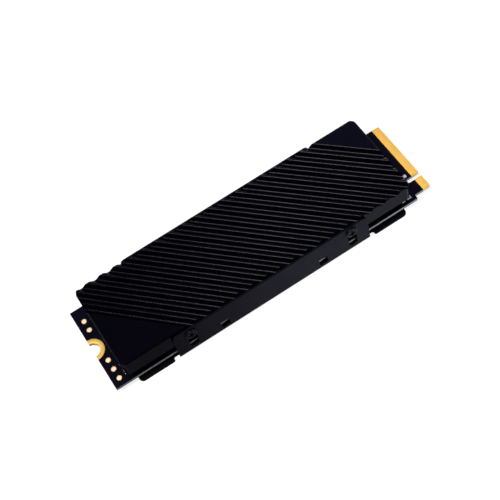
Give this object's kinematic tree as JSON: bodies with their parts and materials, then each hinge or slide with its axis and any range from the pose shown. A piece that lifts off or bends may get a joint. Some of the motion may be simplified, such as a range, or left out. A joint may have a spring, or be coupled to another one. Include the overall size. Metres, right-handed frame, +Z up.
{
  "type": "gumstick solid state drive",
  "caption": "Slim solid state drive on a narrow circuit board with an edge connector, clamped between a diagonally ridged heatsink and a folded sheet tray.",
  "frame": {"origin": "centre of the underside of the tray, below the middle of the board", "axes": "+X along the board towards its edge connector, +Y across it away from the key notch, +Z up through the heatsink"},
  "size_m": [0.08, 0.0242, 0.009],
  "materials": {
    "board": "black solder mask over glass epoxy, satin gloss",
    "gold": "gold plated copper, bright",
    "heatsink": "fine blasted, black anodised",
    "tray": "folded sheet, satin black",
    "screw": "black plated steel, satin",
    "thermal_pad": "soft silicone, matte",
    "chip": "moulded epoxy, fine matte",
    "crystal_can": "nickel plated lid",
    "ferrite": "matte ferrite",
    "ceramic_part": "fired ceramic body, tinned ends",
    "resistor": "black glaze, tinned ends"
  },
  "bodies": {
    "root": {"circuit_board": "board", "heatsink": "heatsink", "tray": "tray", "side_screw_near_left": "screw", "side_screw_near_right": "screw", "side_screw_far_left": "screw", "side_screw_far_right": "screw", "top_thermal_pad": "thermal_pad", "bottom_thermal_pad": "thermal_pad", "controller": "chip", "dram_chip": "chip", "flash_chip_1": "chip", "flash_chip_2": "chip", "power_chip": "chip", "clock_crystal": "crystal_can", "inductor_1": "ferrite", "inductor_2": "ferrite", "inductor_3": "ferrite", "bulk_capacitor_1": "ceramic_part", "bulk_capacitor_2": "ceramic_part", "bulk_capacitor_3": "ceramic_part", "bulk_capacitor_4": "ceramic_part", "capacitor_1": "ceramic_part", "capacitor_2": "ceramic_part", "capacitor_3": "ceramic_part", "capacitor_4": "ceramic_part", "capacitor_5": "ceramic_part", "capacitor_6": "ceramic_part", "resistor_1": "resistor", "resistor_2": "resistor", "resistor_3": "resistor", "resistor_4": "resistor"}
  },
  "joints": []
}
